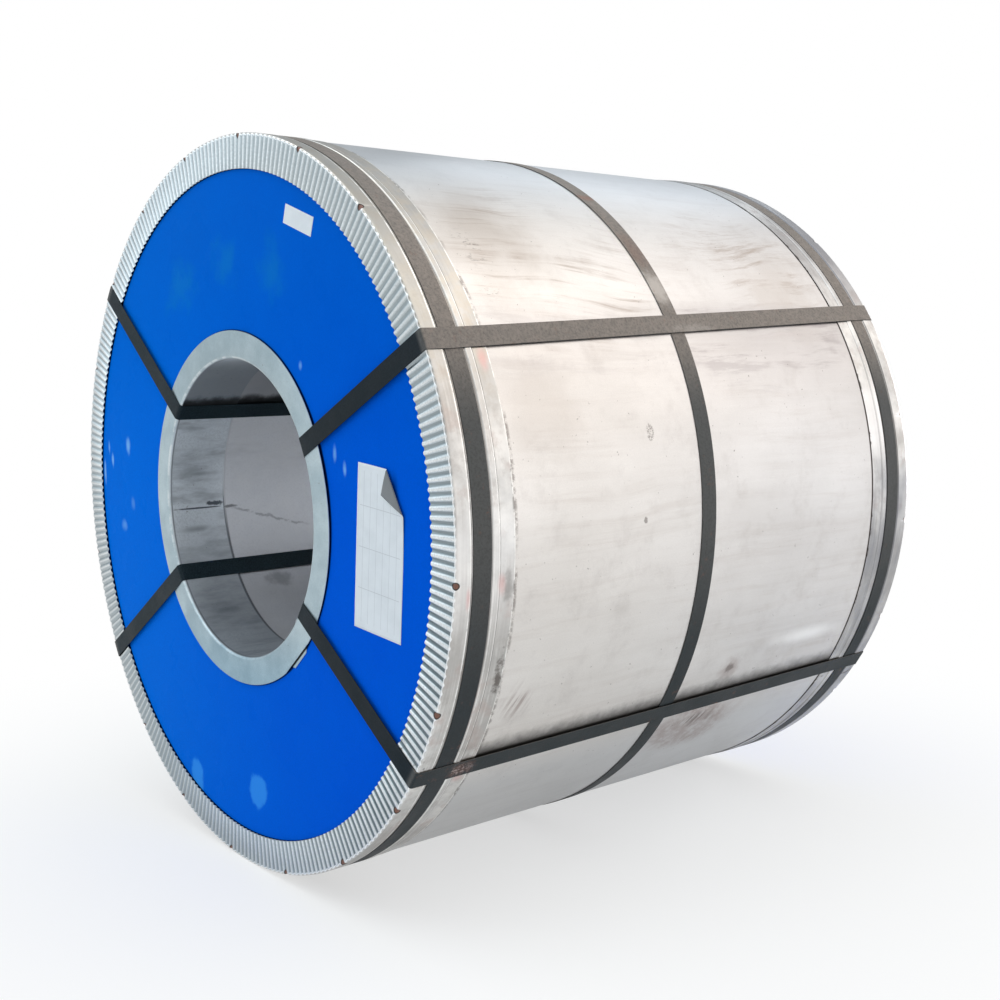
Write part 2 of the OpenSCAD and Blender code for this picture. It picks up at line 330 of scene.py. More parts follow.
class Finish(Nodes):
    """A material of one Principled shader: its running colour, and short calls for the shared groups."""

    def __init__(self, name, **constants):
        self.material = bpy.data.materials.new(name)
        self.material.use_nodes = True
        super().__init__(self.material.node_tree)
        self.shader = self.tree.nodes["Principled BSDF"]
        for key, value in constants.items():
            self.shader.inputs[key.replace("_", " ").title().replace("Ior", "IOR")].default_value = value
        self.at = self.here()
        self.x, self.y, self.z = self.add("ShaderNodeSeparateXYZ", {0: self.at}).outputs
        self.color = None

    @cached_property
    def away(self):
        """Distance from the coil's middle along its axis, in metres."""
        return self.math("ABSOLUTE", self.y)

    @cached_property
    def up(self):
        """Height over the coil's axis, in metres."""
        return self.less(self.z, AXIS.z)

    @cached_property
    def angle(self):
        """Angle about the coil's axis in degrees, from +X towards +Z."""
        return self.times(self.math("ARCTAN2", self.up, self.x), 180 / math.pi)

    @cached_property
    def radius(self):
        """Distance from the coil's axis, in metres."""
        return self.math("SQRT", self.plus(self.times(self.x, self.x), self.times(self.up, self.up)))

    def paint(self, shade, *masks, blend="MIX"):
        """Lays a colour over the running one, where all of the masks say so."""
        self.color = self.mix(self.times(*masks), self.color, shade, blend)

    def group(self, tree, output="Mask", **values):
        node = self.add("ShaderNodeGroup", {"Vector": self.at}, node_tree=tree)
        for key, value in values.items():
            self.feed(node.inputs[key.replace("_", " ").capitalize()], value)
        return node.outputs[output]

    def mark(self, radius, angle, out, half, strength=1.0, grain=30, rag=0.5, soft=0.9):
        """Ragged spot at that radius, angle and place along the axis, with half sizes along X, Y and Z."""
        centre = place(radius, math.radians(angle), out)
        return self.group(
            MARK, centre=centre, half_size=[size * MM for size in half], strength=strength, grain=grain,
            rag=rag, softness=soft)

    def shade_over_strap(self):
        """Painted shadow on the eye's wall over the upper left strap, thick at the strap and thin higher up."""
        angle = self.plus(self.angle, self.span(self.cloud(30.0, 5.0, 0.65), 0.3, 0.7, -1.0, 1.0))
        thick = self.most(self.span(angle, 121, 138, 0.0, 0.98), self.span(angle, 85, 114, 0.0, 0.68))
        return self.times(thick, self.fall(self.angle, 139, 141))

    def wipes(self, across, along, sway):
        """Broken hand-wiped streaks that run along the coil and wander, on the side unrolled flat."""
        round_it = self.times(self.angle, math.pi / 180 * WRAP_OUT * MM)
        flat = self.add("ShaderNodeCombineXYZ", {0: round_it, 1: self.y}).outputs[0]
        bend = self.add("ShaderNodeTexNoise", {"Vector": self.at, "Scale": 2.6, "Detail": 2.0}).outputs["Color"]
        bend = self.vector("MULTIPLY", bend, (sway, 0.05, 0))
        flat = self.vector("ADD", flat, bend)
        streaks = self.noise(self.stretch(flat, (across, along, 1)), 1.0, 8.0, 0.72)
        return self.times(self.span(streaks, 0.46, 0.70), self.span(self.cloud(6.0, 4.0, 0.6), 0.34, 0.56))

    def cloud(self, scale, detail, rough):
        return self.noise(self.at, scale, detail, rough)

    def line(self, value, middle, half):
        """Thin soft line where a value is near the middle."""
        off = self.math("ABSOLUTE", self.less(value, middle))
        return self.fall(off, half * 0.3, half)

    def scale(self, color, factor):
        return self.add("ShaderNodeVectorMath", {0: color, "Scale": factor}, operation="SCALE").outputs[0]

    def by_angle(self, stops):
        """Three values that change with the angle about the axis, from stops of degrees and values."""
        node = self.add("ShaderNodeValToRGB", {0: self.span(self.angle, -180, 180, smooth=False)})
        ramp = node.color_ramp
        while len(ramp.elements) < len(stops):
            ramp.elements.new(0.5)
        for element, (angle, *_) in zip(ramp.elements, stops):
            element.position = (angle + 180) / 360
        for element, (_, *values) in zip(ramp.elements, stops):
            element.color = (*values, 1.0)
        return self.add("ShaderNodeSeparateColor", {0: node.outputs[0]}).outputs

    def attribute(self, name):
        return self.add("ShaderNodeAttribute", attribute_name=name).outputs["Fac"]

    def done(self, roughness, height, strength, distance, metallic=None):
        self.feed(self.shader.inputs["Base Color"], self.color)
        self.feed(self.shader.inputs["Roughness"], roughness)
        if metallic is not None:
            self.feed(self.shader.inputs["Metallic"], metallic)
        bump = self.add("ShaderNodeBump", {"Height": height, "Strength": strength, "Distance": distance})
        self.feed(self.shader.inputs["Normal"], bump.outputs[0])
        return self.material


def wrap_finish():
    """Zinc coated wrap sheet: silver with soft clouds, wiped streaks, specks, stains, soot and painted shadow
    over a strap, painted shade, reflection and a highlight.
    """
    f = Finish("wrap_sheet", metallic=1)
    lines = f.group(BRUSHED, "Height", stretch=(150, 3, 150), patches=4)
    clouds = f.noise(f.stretch(f.at, (5, 2.2, 5)), 1, 5, 0.6)
    mottle = f.cloud(16, 7, 0.7)
    grain = f.cloud(900, 2, 0.5)
    specks = f.group(SPECKLE, scale=170, amount=0.14)
    f.color = f.mix(f.span(clouds, 0.3, 0.7), (0.74, 0.71, 0.678), (0.83, 0.8, 0.768))
    f.paint(f.mix(f.span(f.y, -0.35, 0.3), (1, 1, 1), (0.9, 0.915, 0.945)), 1, blend="MULTIPLY")
    f.paint((0.44, 0.405, 0.385), f.span(mottle, 0.48, 0.75), 0.28)
    f.paint((0.88, 0.87, 0.86), f.span(lines, 0.45, 0.8), 0.12)
    f.paint((0.35, 0.33, 0.32), f.span(grain, 0.3, 0.7, 0, 0.14))
    wiped = f.most(
        f.times(f.wipes(64, 2.6, 0.13), f.mark(WRAP_OUT, 41, 230, (230, 280, 210), grain=9, soft=0.7)),
        f.times(f.wipes(44, 5, 0.13), f.mark(WRAP_OUT, 42, -250, (200, 300, 190), grain=8, soft=0.8), 0.8),
        f.times(f.wipes(40, 2.2, 0.05), 0.16))
    haze = f.most(
        f.mark(WRAP_OUT, 46, 330, (230, 170, 190), 0.5, grain=7, rag=0.6),
        f.mark(WRAP_OUT, 36, -300, (120, 140, 130), 0.3, grain=12, rag=0.8),
        f.mark(WRAP_OUT, 18, 340, (80, 90, 130), 0.22, grain=12, rag=0.8))
    f.paint((0.42, 0.36, 0.31), haze)
    f.paint((0.36, 0.285, 0.235), wiped, 0.95)
    # Painted shade: a dim mauve-grey band below the upper right strap, broken by streaks
    painted_shade_below_strap = f.times(
        f.span(f.angle, 13, 26), f.span(f.y, -0.03, 0.03, 0.4, 1),
        f.span(f.wipes(30, 3, 0.1), 0, 0.6, 0.45, 1.15))
    f.paint((0.37, 0.335, 0.34), painted_shade_below_strap, f.span(f.angle, 31, 34, 0.6, 0))
    # Painted reflection: cooler blue-grey towards the top
    f.paint((0.56, 0.61, 0.68), f.span(f.angle, 46, 66, 0, 0.55))
    # Painted shade: cooler and darker towards the bottom
    f.paint((0.52, 0.555, 0.59), f.span(f.angle, -32, -42, 0, 0.45))
    # Painted highlight: a pale streak low on the right of the wrap
    painted_highlight = f.mark(WRAP_OUT, -23.7, -295, (30, 130, 20), grain=14, rag=0.4, soft=1)
    f.paint((0.97, 0.97, 0.965), painted_highlight, 0.7)
    scratched = f.group(SCRATCHES, stretch=(16, 5, 16), width=0.012, amount=0.3)
    f.paint((0.28, 0.25, 0.24), scratched, 0.35)
    slanted = f.less(f.y, f.times(f.z, 0.5))
    slanted = f.add("ShaderNodeCombineXYZ", {0: f.times(slanted, 110), 1: f.times(f.z, 9)}).outputs[0]
    hatch = f.span(f.noise(slanted, 1, 4, 0.6), 0.42, 0.6)
    uneven = f.span(f.cloud(55, 6, 0.72), 0.35, 0.62, 0.45, 1.3)
    stain = f.most(
        f.times(f.mark(WRAP_OUT, -40, -95, (100, 125, 80), grain=16, soft=0.5), uneven),
        f.mark(WRAP_OUT, -27.4, -114, (30, 34, 30), 0.9, grain=40, rag=0.6, soft=0.8),
        f.times(f.mark(WRAP_OUT, -24.5, 370, (36, 44, 46), rag=0.6, soft=0.95), hatch, 1.2))
    f.paint((0.34, 0.27, 0.255), stain, 0.55)
    # Sooty band over the lower right strap, with the strap's shadow painted in
    lean = f.times(f.y, 1.75)
    over = f.less(f.angle, f.less(lean, 32.2))
    rough = f.times(f.less(f.cloud(40, 6, 0.7), 0.5), 2.4)
    grime_and_shadow = f.times(f.fall(f.plus(over, rough), 0.2, 3.5), f.span(over, -2, -1.6))
    f.paint((0.05, 0.046, 0.043), grime_and_shadow, 0.85)
    flecks = f.span(f.noise(f.stretch(f.at, (90, 60, 200)), 1, 5, 0.7), 0.56, 0.64)
    dotted = f.span(f.cloud(420, 2, 0.5), 0.44, 0.56)
    # Specks and stains, with a painted shadow line along the far skirt's edge
    specks_and_edge_shadow = f.most(
        specks,
        f.times(f.mark(WRAP_OUT, 12.4, 136, (12, 9, 15), grain=70, rag=0.3, soft=0.3), dotted),
        f.times(f.mark(WRAP_OUT, 42, 368, (50, 28, 60), rag=0.6), flecks),
        f.times(f.mark(WRAP_OUT, 34, 370, (24, 22, 24), rag=0.6), flecks),
        f.times(
            f.span(f.y, -0.4095, -0.4135), f.span(f.cloud(80, 6, 0.75), 0.42, 0.56),
            f.span(f.cloud(11, 2, 0.5), 0.36, 0.5)),
        # Painted shadow: a dark line along the far skirt's edge
        f.times(f.span(f.y, 0.4138, 0.4148), 1.5),
        f.mark(WRAP_OUT, 0.1, 160, (5, 4, 6), grain=220, rag=0.9, soft=0.4),
        f.mark(WRAP_OUT, -27.4, -113, (11, 11, 13), grain=80, rag=0.9, soft=0.7),
        f.times(f.mark(WRAP_OUT, -38.2, -98, (44, 60, 24), grain=45, rag=1), hatch, 1.3),
        f.times(f.mark(WRAP_OUT, -39.2, 149, (14, 16, 14), grain=60, rag=0.6), flecks, 1.3))
    f.paint((0.13, 0.105, 0.095), specks_and_edge_shadow, 0.6)
    roughness = f.plus(f.span(clouds, 0.3, 0.7, 0.44, 0.36), f.times(wiped, 0.1))
    height = f.plus(f.times(lines, 0.2), clouds)
    return f.done(roughness, height, strength=0.15, distance=0.002)


# Fluted flange by angle, painted light and shade with some patina in the valleys: degrees, how dark the valleys
# are, how pale the sheet is, how it fades outwards
FLUTE_TONES = (
    (-180, 0.38, 0.8, 0.3), (-150, 0.14, 0.36, 0.1), (-120, 0.1, 0.3, 0.2), (-97, 0.42, 0.64, 0.45),
    (-72, 0.62, 0.94, 0.2), (-45, 0.97, 0.94, 0.3), (-15, 0.95, 0.98, 0.1), (8, 0.7, 0.88, 0.1),
    (30, 0.42, 0.64, 0.1), (60, 0.38, 0.76, 0.15), (95, 0.36, 1, 0.12), (130, 0.4, 0.94, 0.2),
    (165, 0.42, 0.95, 0.4), (180, 0.38, 0.8, 0.3))


def ring_finish():
    """Zinc coated ring: pale crests, dull valleys, a mottled skirt with a dirty edge, rusty nail holes, with
    painted light and shade on flutes, steps and underside.
    """
    f = Finish("zinc_ring", metallic=1)
    wave = f.attribute("wave")
    depth, pale, fade = f.by_angle(FLUTE_TONES)[:3]
    valley = f.span(f.attribute("valley"), 0.25, 0.7)
    crest = f.fall(wave, 0, f.span(depth, 0.6, 0.95, 0.34, 0.66))
    grain = f.cloud(320, 3, 0.6)
    clouds = f.cloud(11, 5, 0.62)
    mottle = f.cloud(42, 5, 0.65)
    streaks = f.group(BRUSHED, stretch=(7, 240, 7), patches=6)
    f.color = f.mix(f.span(clouds, 0.35, 0.65), (0.6, 0.597, 0.585), (0.82, 0.805, 0.78))
    f.paint((0.38, 0.355, 0.33), f.span(mottle, 0.42, 0.72), 0.45)
    f.paint((0.38, 0.36, 0.34), f.span(streaks, 0.12, 0.55, 0, 0.65))
    tinted = f.cloud(21, 4, 0.6)
    f.paint((0.62, 0.44, 0.4), f.span(tinted, 0.54, 0.7, 0, 0.22))
    front, far_side = f.span(f.y, 0, -0.1), f.span(f.y, 0, 0.1)
    # Paler bands: on the front ring near -14 to 6 degrees, on the far ring's land near 4 to 21 degrees
    paler_bands = f.most(
        f.times(front, f.span(f.angle, -14, -6), f.fall(f.angle, 0, 6), 0.4),
        f.times(far_side, f.span(f.angle, 4, 9), f.fall(f.angle, 16, 21), f.fall(f.away, 0.455, 0.458), 0.75))
    f.paint((0.94, 0.93, 0.92), paler_bands)
    f.paint((0.42, 0.405, 0.39), front, f.span(f.angle, 5, 36, 0, 0.5))
    yellowed = f.times(
        front, f.span(f.angle, 12, 30), f.span(f.angle, 62, 80, 1, 0.2), f.span(mottle, 0.38, 0.6, 0.1, 0.5))
    f.paint((0.6, 0.53, 0.43), yellowed)
    # Darker strip beside the front belt's outer edge, strongest from 30 to 45 degrees
    darker_by_belt = f.times(
        front, f.span(f.away, 0.4905, 0.4935), f.span(f.angle, 16, 30, 0, 0.55),
        f.span(f.angle, 45, 70, 1, 0.3))
    f.paint((0.34, 0.325, 0.29), darker_by_belt)
    bend_line = f.plus(f.radius, f.times(wave, 0.0026))
    fluted = f.times(f.span(f.attribute("fluted"), 0.1, 0.5), f.fall(bend_line, 0.6134, 0.6146))
    # Painted light on the flutes: crests painted pale as highlights, valleys darkened by angle as patina and
    # painted shade, the sheet paler inwards by angle
    sheet = f.mix(pale, (0.26, 0.31, 0.33), (0.7, 0.77, 0.8))
    sheet = f.mix(f.times(crest, 0.85), sheet, f.mix(pale, (0.55, 0.61, 0.63), (0.98, 1, 1)))
    sheet = f.mix(f.times(valley, depth), sheet, (0.075, 0.12, 0.14))
    inner = f.span(f.radius, 0.562, 0.606, 0.4, -0.4)
    sheet = f.scale(sheet, f.plus(f.times(inner, fade), 1))
    sheet = f.mix(f.span(grain, 0.3, 0.7, 0, 0.3), sheet, (0.3, 0.34, 0.36))
    f.paint(sheet, fluted, 0.93)
    # Painted highlight: a thin bright line round the rim's bend
    f.paint((0.95, 0.96, 0.96), f.attribute("fluted"), f.line(bend_line, 0.6135, 0.0015), 0.9)
    broken = f.span(f.cloud(46, 5, 0.7), 0.36, 0.56, 0.25, 1)
    # Painted highlights: pale lines along the skirt's step edges, fainter on the far ring
    bright = f.most(
        f.line(f.away, 0.4965, 0.0017), f.line(f.away, 0.446, 0.0014), f.line(f.away, 0.4182, 0.0012),
        f.times(f.line(f.away, 0.4552, 0.0012), 0.6))
    f.paint((0.97, 0.96, 0.93), bright, broken, f.span(f.y, 0, 0.1, 0.85, 0.2))
    # Painted shade: dark lines beside the skirt's steps and the belt's edges
    step_shade_lines = f.most(
        f.line(f.away, 0.494, 0.0014), f.line(f.away, 0.4577, 0.0012),
        f.times(f.line(f.away, 0.4435, 0.0009), 0.6), f.times(far_side, f.line(f.away, 0.4572, 0.0026), 1.25))
    f.paint((0.1, 0.095, 0.09), step_shade_lines, 0.7)
    # Painted dark reflection: the far ring's skirt darker blue-grey, except on the right near 9 to 22 degrees
    far = f.times(
        far_side, f.span(f.noise(f.stretch(f.at, (7, 30, 7)), 1, 3, 0.6), 0.3, 0.7, 0.25, 0.7),
        f.span(f.angle, -1, 9, 1, 0.15))
    far = f.most(far, f.times(far_side, f.span(f.angle, 22, 50, 0, 0.8), f.span(f.away, 0.452, 0.458, 0.45, 1)))
    f.paint((0.22, 0.23, 0.265), far)
    edge = f.fall(f.away, 0.4172, 0.4215)
    patchy = f.span(f.cloud(34, 6, 0.7), 0.52, 0.62)
    dirt_and_shadow = f.most(
        f.times(edge, patchy),
        f.mark(SKIRT_OUT, -19, 425, (18, 9, 50), grain=110, rag=1.5),
        f.mark(SKIRT_OUT, -6, 428, (20, 14, 34), 0.6, grain=50, rag=1),
        f.mark(SKIRT_OUT, -34, 436, (40, 16, 26), 0.6, grain=50, rag=0.9),
        # Soot and painted shadow over the lower right strap
        f.times(f.fall(f.angle, -33, -29.5), f.span(f.angle, -36.5, -36), patchy))
    f.paint((0.1, 0.085, 0.075), dirt_and_shadow, 0.78)
    blush = f.most(*[f.mark(*row) for row in (
        (SKIRT_OUT, 23.4, 430, (20, 13, 26)), (SKIRT_OUT, -6, 440, (16, 12, 24)),
        (RING_OUT, -7, 499, (16, 6, 24)), (SKIRT_OUT, -36, 435, (24, 14, 20)))])
    f.paint((0.7, 0.36, 0.34), blush, 0.5)
    # Painted shade on the ring's underside, seen through the flutes' gaps
    f.paint((0.02, 0.022, 0.025), f.attribute("under"), 0.92)
    pitch = 360 / NAIL_HOLES
    aside = f.less(f.angle, math.degrees(FIRST_NAIL) - pitch / 2)
    aside = f.less(f.math("FLOORED_MODULO", aside, pitch), pitch / 2)
    across = f.times(aside, math.pi / 180 * RING_OUT * MM)
    bend = (RING_OUT - RIM_OUT) * MM
    along = f.times(f.less(f.less(f.radius, f.away), bend), math.sqrt(0.5))
    off = f.math("SQRT", f.plus(f.times(across, across), f.times(along, along)))
    off = f.plus(off, f.times(f.less(mottle, 0.5), 0.002))
    holed = f.span(f.attribute("nail"), 0.3, 0.5)
    f.paint((0.018, 0.014, 0.013), holed, f.fall(off, 0.0052, 0.0058))
    f.paint((0.2, 0.085, 0.055), holed, f.fall(off, 0.0036, 0.0044))
    roughness = f.span(grain, 0.3, 0.7, 0.3, 0.42)
    metal = f.less(1, f.times(holed, f.fall(off, 0.0052, 0.0058)))
    return f.done(roughness, grain, strength=0.12, distance=0.0006, metallic=metal)


def inner_ring_finish():
    """Smooth zinc coated inner ring, grey-green and matt: smudged wall, a seam, a painted shadow over a strap,
    and a bend painted bright as a highlight with wear.
    """
    f = Finish("inner_ring_zinc")
    clouds = f.cloud(14, 5, 0.62)
    grain = f.cloud(420, 3, 0.6)
    specks = f.group(SPECKLE, scale=190, amount=0.16)
    f.color = f.mix(f.span(clouds, 0.3, 0.7), (0.37, 0.46, 0.5), (0.47, 0.565, 0.6))
    f.paint((0.25, 0.29, 0.3), f.span(grain, 0.3, 0.7, 0, 0.22))
    f.color = f.scale(f.color, f.span(f.math("ABSOLUTE", f.x), 0.1, 0.26, 1, 1.15))
    f.paint((0.74, 0.9, 1), f.fall(f.z, 0.3, 0.46), blend="MULTIPLY")
    inside = f.fall(f.radius, 0.2522, 0.2532)
    f.paint((0.75, 0.795, 0.84), inside, 0.85)
    # The bend painted bright as a highlight, broken up like wear, stronger higher up
    bend = f.times(f.span(f.radius, 0.2526, 0.2534), f.fall(f.radius, 0.2552, 0.2572))
    wear_and_painted_light = f.times(bend, f.span(f.cloud(34, 5, 0.75), 0.42, 0.54, 0.2, 1))
    f.paint((0.8, 0.83, 0.84), wear_and_painted_light, f.span(f.z, 0.38, 0.55, 0.3, 0.6))
    f.paint((0.17, 0.16, 0.15), specks, 0.6)
    smudge = f.noise(f.stretch(f.at, (24, 7, 24)), 1, 6, 0.68)
    shade = f.shade_over_strap()
    # Smudges, the seam, dark lines at the bend and the skirt's end, and the painted shadow over the upper left
    # strap
    marks_and_strap_shadow = f.most(
        f.span(smudge, 0.4, 0.72, 0, 0.48),
        f.span(f.cloud(260, 4, 0.7), 0.38, 0.72, 0, 0.22),
        shade,
        f.times(f.span(f.away, 0.5135, 0.515), f.fall(f.away, 0.5165, 0.518), 0.6),
        f.times(f.span(f.away, 0.4135, 0.411), f.span(f.z, 0.6, 0.64, 0.8, 0.2)),
        f.mark(EYE_R, -174.8, 465, (12, 62, 2), 0.95, grain=60, rag=0.4, soft=0.5),
        f.mark(EYE_R, -176.4, 430, (14, 24, 6), 0.95, grain=110, rag=1, soft=0.6),
        f.mark(EYE_R, 170.5, 460, (20, 60, 9), 0.55, soft=1),
        f.mark(EYE_R, -166, 470, (20, 56, 10), 0.5, soft=1),
        f.mark(EYE_R, -127, 465, (34, 64, 14), 0.55, soft=1))
    f.paint((0.05, 0.062, 0.08), inside, marks_and_strap_shadow)
    low = f.span(f.plus(f.z, f.times(smudge, 0.12)), 0.44, 0.68, 0.62, 0)
    f.paint((0.05, 0.062, 0.08), inside, low)
    # Painted shadow, near black right over the strap
    f.paint((0.006, 0.007, 0.008), inside, f.span(shade, 0.74, 0.98))
    across = f.less(f.times(f.x, math.cos(CUT_AT)), AXIS.z * math.sin(CUT_AT))
    across = f.plus(across, f.times(f.z, math.sin(CUT_AT)))
    # Painted shadow on the lap's under end, along the cut
    shadow_on_tab = f.times(
        f.fall(f.away, 0.5188, 0.5191), f.span(f.radius, 0.27, 0.272), f.fall(across, 0.2975, 0.299))
    f.paint((0.01, 0.01, 0.01), shadow_on_tab)
    metal = f.less(0.85, f.times(inside, 0.35))
    return f.done(f.span(clouds, 0.3, 0.7, 0.52, 0.42), grain, strength=0.1, distance=0.0005, metallic=metal)


# Pale glints on the front disc: radius, angle, half width, half height and strength
GLINTS = (
    (549, 176.3, 5, 34, 1), (512, 173.5, 5, 22, 0.9), (440, 168.6, 9, 24, 0.9), (469, -171.6, 12, 14, 0.5),
    (420, -177, 8, 16, 0.35), (530, 171, 4, 18, 0.7), (333, 19, 5, 16, 0.7), (352, 14, 5, 15, 0.8),
    (327, 47, 5, 9, 0.6))


def disc_finish():
    """Blue plastic sheet with scratches, painted glints, a faint film and a gentle wave, painted shadow under the
    rings and by the label.
    """
    f = Finish("blue_disc", specular_ior_level=0.01, ior=1.25)
    wave = f.cloud(5, 2, 0.4)
    grain = f.cloud(420, 2, 0.5)
    clouds = f.cloud(7, 4, 0.6)
    f.color = f.mix(f.span(f.x, -0.5, 0.45), (0, 0.165, 0.78), (0, 0.1, 0.73))
    f.paint((0, 0.128, 0.58), f.span(f.z, 0.55, 1.1, 0, 0.6))
    f.paint((0, 0.18, 0.88), f.span(clouds, 0.3, 0.7, 0, 0.12))
    f.paint((0, 0.075, 0.52), f.span(grain, 0.3, 0.7, 0, 0.24))
    # Scratches, and two painted glints low on the disc
    scratches_and_glints = f.most(
        f.times(f.group(SCRATCHES, stretch=(5, 5, 5), width=0.006, amount=0.2), 0.35),
        f.mark(545, -110, DISC_OUT, (30, 20, 38), 0.9, soft=0.35),
        f.mark(482, -85, DISC_OUT, (32, 20, 34), 0.9, soft=0.35))
    f.paint((0.05, 0.36, 0.95), scratches_and_glints, 0.7)
    glints = f.most(*[
        f.mark(radius, angle, DISC_OUT, (half * 1.4, 20, tall), amount, rag=0.6, soft=0.95)
        for radius, angle, half, tall, amount in GLINTS])
    f.paint((0.25, 0.55, 0.95), glints, 0.85)
    film = f.most(*[
        f.mark(radius, angle, DISC_OUT, (wide, 40, tall), grain=22, rag=1)
        for radius, angle, wide, tall in ((424, 115, 70, 60), (412, 91, 60, 55), (414, 70, 60, 60))])
    f.paint((0.01, 0.24, 0.5), film, 0.3)
    # Painted shadow under the rings' edges and beside the label's rolled corner
    painted_shadows = f.most(
        f.span(f.radius, 0.5574, 0.5592), f.fall(f.radius, 0.2988, 0.302),
        f.mark(472, 7, DISC_OUT, (15, 20, 40), 0.6, grain=20, rag=0.1))
    f.paint((0, 0.004, 0.02), painted_shadows, 0.94)
    height = f.plus(f.times(wave, 3), f.times(grain, 0.12))
    return f.done(f.span(clouds, 0.3, 0.7, 0.24, 0.34), height, strength=0.12, distance=0.001)


def strap_finish():
    """Dark painted and waxed steel strap, lighter as painted light and dusty where it faces up, rubbed bright in
    a few places.
    """
    f = Finish("steel_strap", specular_ior_level=0.14)
    belt, over_ring = WRAP_OUT + 1, RING_OUT + 2.02
    clouds = f.cloud(18, 5, 0.62)
    grain = f.cloud(500, 3, 0.6)
    streaks = f.cloud(90, 4, 0.7)
    f.color = f.mix(f.span(clouds, 0.3, 0.75), (0.002, 0.008, 0.013), (0.005, 0.014, 0.019))
    f.paint((0.02, 0.036, 0.045), f.span(grain, 0.38, 0.66, 0, 0.6))
    facing = f.add("ShaderNodeSeparateXYZ", {0: f.add("ShaderNodeNewGeometry").outputs["Normal"]}).outputs[2]
    outside = f.span(f.radius, 0.6, 0.61)
    # Painted light: the outer runs lighter, most where they face up
    f.paint((0.115, 0.115, 0.112), outside, f.span(facing, -0.45, 0.05, 0.2, 0.85))
    # The runs off the outside made darker towards the right
    darker_inner_runs = f.times(f.span(f.x, 0.05, 0.35, 0, 0.6), f.less(1, outside))
    f.paint((0.001, 0.006, 0.011), darker_inner_runs)
    # Brown dusting on the outer runs where they face up, also standing in for a painted sheen
    dust_and_sheen = f.times(
        outside, f.span(facing, 0.24, 0.5), f.span(facing, 0.6, 0.95, 1, 0.6),
        f.span(streaks, 0.2, 0.7, 0.6, 1))
    f.paint((0.32, 0.275, 0.24), dust_and_sheen, 0.95)
    # Outer runs lighter in patches: painted light, broken up like wear
    wear_and_painted_light = f.times(outside, f.span(f.cloud(240, 4, 0.75), 0.42, 0.7, 0, 0.4))
    f.paint((0.035, 0.034, 0.032), wear_and_painted_light)
    rubbed = f.most(
        f.mark(belt, 35.5, 18, (42, 30, 46), grain=90, rag=0.6, soft=0.7),
        f.mark(over_ring, 28, -20, (40, 70, 12), 0.35, grain=60, rag=0.9))
    f.paint((0.5, 0.47, 0.44), rubbed, 0.8)
    rust = f.most(
        f.mark(over_ring, -35, -121, (5, 5, 5), grain=200, rag=0.7, soft=0.4),
        f.mark(over_ring, -34.5, 437, (24, 28, 18), 0.5, grain=110, rag=1.3, soft=0.8),
        f.mark(belt, 57, 18, (16, 24, 10), grain=60, rag=0.7, soft=0.8),
        f.mark(belt, 43, 18, (60, 30, 60), 0.5, grain=60, rag=0.7),
        f.times(outside, f.span(f.cloud(55, 5, 0.7), 0.6, 0.72, 0, 0.5)))
    f.paint((0.25, 0.11, 0.075), rust, 0.55)
    chipped = f.times(
        f.mark(over_ring, -34.5, 440, (24, 30, 20), grain=60, rag=0.9), f.span(f.cloud(190, 4, 0.7), 0.45, 0.6))
    f.paint((0.5, 0.4, 0.38), chipped, 0.7)
    metal = f.times(rubbed, 0.8)
    return f.done(f.span(clouds, 0.3, 0.75, 0.44, 0.58), grain, strength=0.2, distance=0.0005, metallic=metal)


def strip_finish():
    """Rolled strip: the eye's wall with a crease drawn as painted shade, smudges, a painted shadow over a strap
    and a dark line at the ring's edge, and the turns.
    """
    f = Finish("strip_steel")
    lines = f.group(BRUSHED, "Height", stretch=(60, 4, 60), patches=6)
    clouds = f.cloud(10, 4, 0.6)
    f.color = f.mix(f.span(clouds, 0.3, 0.7), (0.89, 0.905, 0.94), (0.95, 0.96, 0.98))
    smudge = f.noise(f.stretch(f.at, (20, 5, 20)), 1, 6, 0.68)
    shade = f.shade_over_strap()
    along = f.plus(f.y, 0.414)
    beside = f.less(f.plus(f.angle, 175.4), f.times(along, 68))
    beside = f.plus(beside, f.span(f.cloud(40, 4, 0.6), 0.3, 0.7, -0.7, 0.7))
    # The crease, drawn as a thin painted shade line along a fold
    crease = f.times(
        f.fall(f.math("ABSOLUTE", beside), 0.1, 1), f.span(along, 0.01, 0.04), f.fall(along, 0.15, 0.2),
        f.span(f.cloud(50, 4, 0.6), 0.36, 0.5))
    # Smudges, the dark line at the ring's edge, the crease, and the painted shadow over the upper left strap
    dirt_and_shadow = f.most(
        f.span(smudge, 0.48, 0.8, 0, 0.24),
        f.span(f.cloud(260, 4, 0.7), 0.4, 0.75, 0, 0.1),
        shade,
        f.times(f.span(f.away, 0.4045, 0.4075), f.span(f.up, -0.09, 0, 1, 0.15)),
        f.mark(BORE_R, -174.5, 398, (10, 26, 4), 0.8, grain=60, rag=0.9, soft=0.8),
        f.times(crease, 0.5),
        f.mark(BORE_R, -140, 330, (30, 40, 20), 0.5, grain=40, rag=0.9, soft=0.8))
    f.paint((0.06, 0.065, 0.078), dirt_and_shadow, 0.85)
    low = f.span(f.plus(f.up, f.times(smudge, 0.08)), -0.17, 0.02, 0.4, 0)
    f.paint((0.06, 0.065, 0.078), low)
    # Painted shadow, near black right over the strap
    f.paint((0.012, 0.013, 0.014), f.span(shade, 0.7, 0.98))
    return f.done(f.span(clouds, 0.3, 0.7, 0.5, 0.4), lines, strength=0.1, distance=0.001, metallic=0.75)


